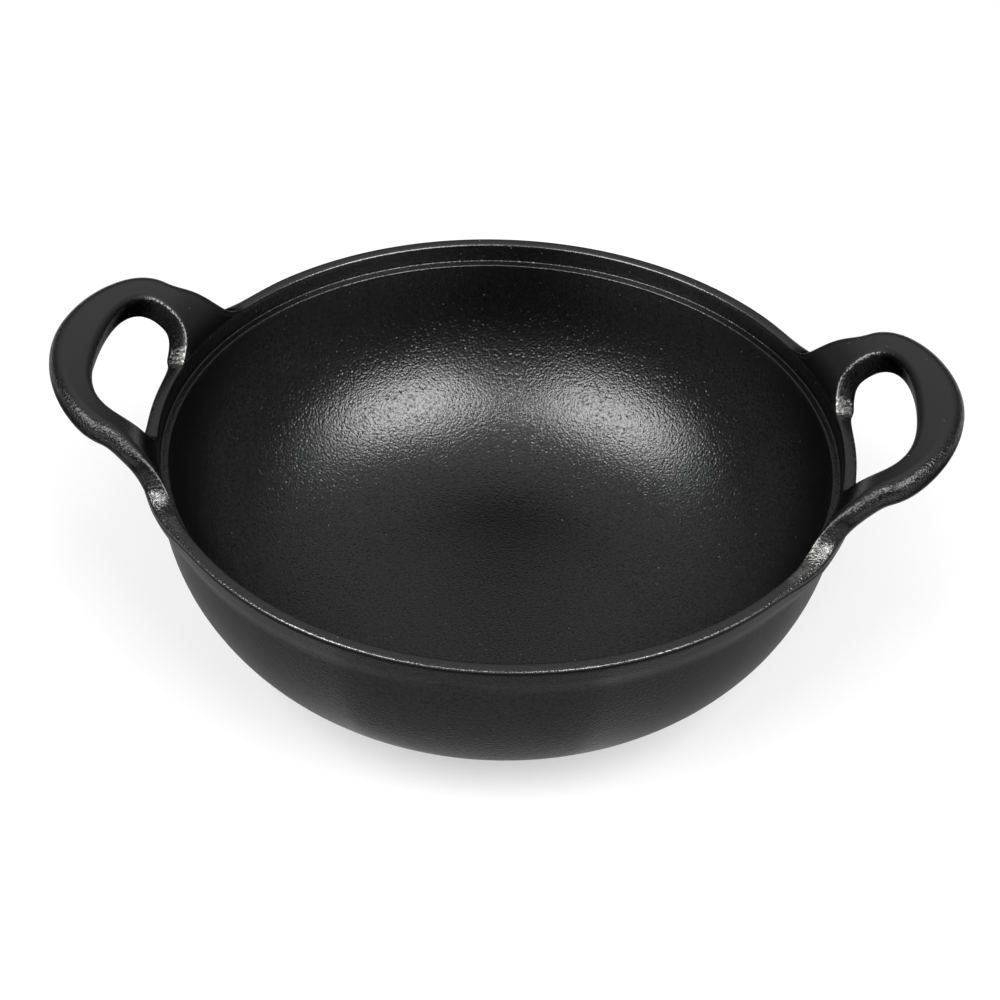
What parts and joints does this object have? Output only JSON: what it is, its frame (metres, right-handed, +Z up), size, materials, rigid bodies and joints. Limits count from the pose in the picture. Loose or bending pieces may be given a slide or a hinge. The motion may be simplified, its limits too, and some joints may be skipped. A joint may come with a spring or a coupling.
{
  "type": "stew pot",
  "caption": "Round-bottomed cast iron stew pot with a flat base, a lid ledge inside the lip and two flared ear handles with finger holes.",
  "frame": {"origin": "centre of the flat base, on the surface that the pot stands on", "axes": "+Z up along the axis of the bowl, +X towards the right handle; both handles lie along X"},
  "size_m": [0.3296, 0.26, 0.1162],
  "materials": {
    "bowl_iron": "seasoned black, sand cast, dull sheen",
    "handle_iron": "seasoned black, sand cast, dull sheen"
  },
  "bodies": {
    "root": {"bowl": "bowl_iron", "handle_left": "handle_iron", "handle_right": "handle_iron"}
  },
  "joints": []
}
